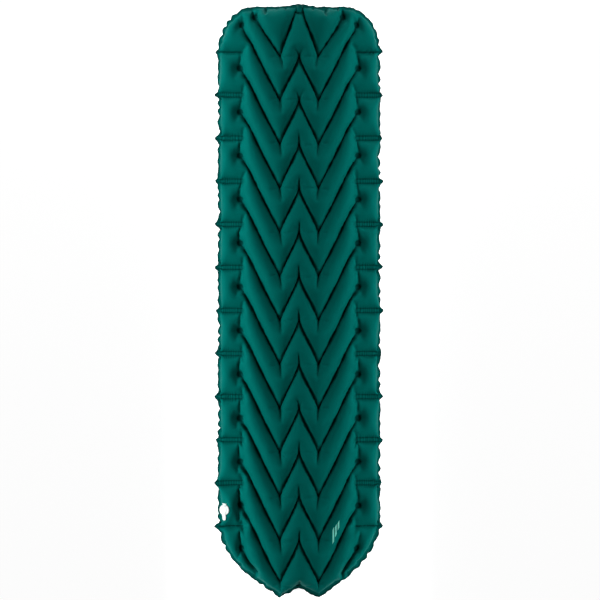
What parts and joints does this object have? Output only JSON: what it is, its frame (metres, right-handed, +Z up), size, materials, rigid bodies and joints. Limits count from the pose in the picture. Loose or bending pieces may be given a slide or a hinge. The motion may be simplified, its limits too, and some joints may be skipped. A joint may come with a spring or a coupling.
{
  "type": "inflatable sleeping pad",
  "caption": "Inflated camping sleeping pad: two fabric sheets welded in a chevron pattern with rails at the sides and a two-stage flat valve in one rail.",
  "frame": {"origin": "centre of the underside of the inflated pad, on the floor", "axes": "X across the pad, Y along it toward the head end, Z up"},
  "size_m": [0.545, 1.85, 0.0635],
  "materials": {
    "top_fabric": "coated polyester with a slight satin sheen",
    "base_fabric": "coated polyester, a little duller than the top",
    "print_ink": "thin printed ink",
    "valve_body": "milky moulded elastomer",
    "valve_cap": "milky moulded elastomer, smoother",
    "valve_strap": "soft milky elastomer",
    "seal_rubber": "smooth soft rubber",
    "flap_silicone": "smooth silicone"
  },
  "bodies": {
    "pad": {"top_sheet": "top_fabric", "bottom_sheet": "base_fabric", "mark_print": "print_ink", "valve_flange": "valve_body", "stage_strap": "valve_strap"},
    "stage": {"stage_cap": "valve_body", "stage_seal": "seal_rubber", "flap_seat": "valve_body", "cap_strap": "valve_strap"},
    "flap": {"check_flap": "flap_silicone"},
    "cap": {"port_cap": "valve_cap", "cap_seal": "seal_rubber"}
  },
  "joints": [
    {"name": "stage_hinge", "type": "hinge", "parent": "pad", "child": "stage", "pos_m": [-0.23231, -0.63455, 0.05396], "axis": [-0.8829, 0, -0.4695], "range_deg": [0, 100]},
    {"name": "cap_hinge", "type": "hinge", "parent": "stage", "child": "cap", "pos_m": [-0.23457, -0.64015, 0.0582], "axis": [-0.8829, 0, -0.4695], "range_deg": [0, 120]},
    {"name": "flap_lift", "type": "slide", "parent": "stage", "child": "flap", "axis": [0.4695, 0, -0.8829], "range_m": [0, 0.001], "stiffness_N_per_m": 2}
  ]
}
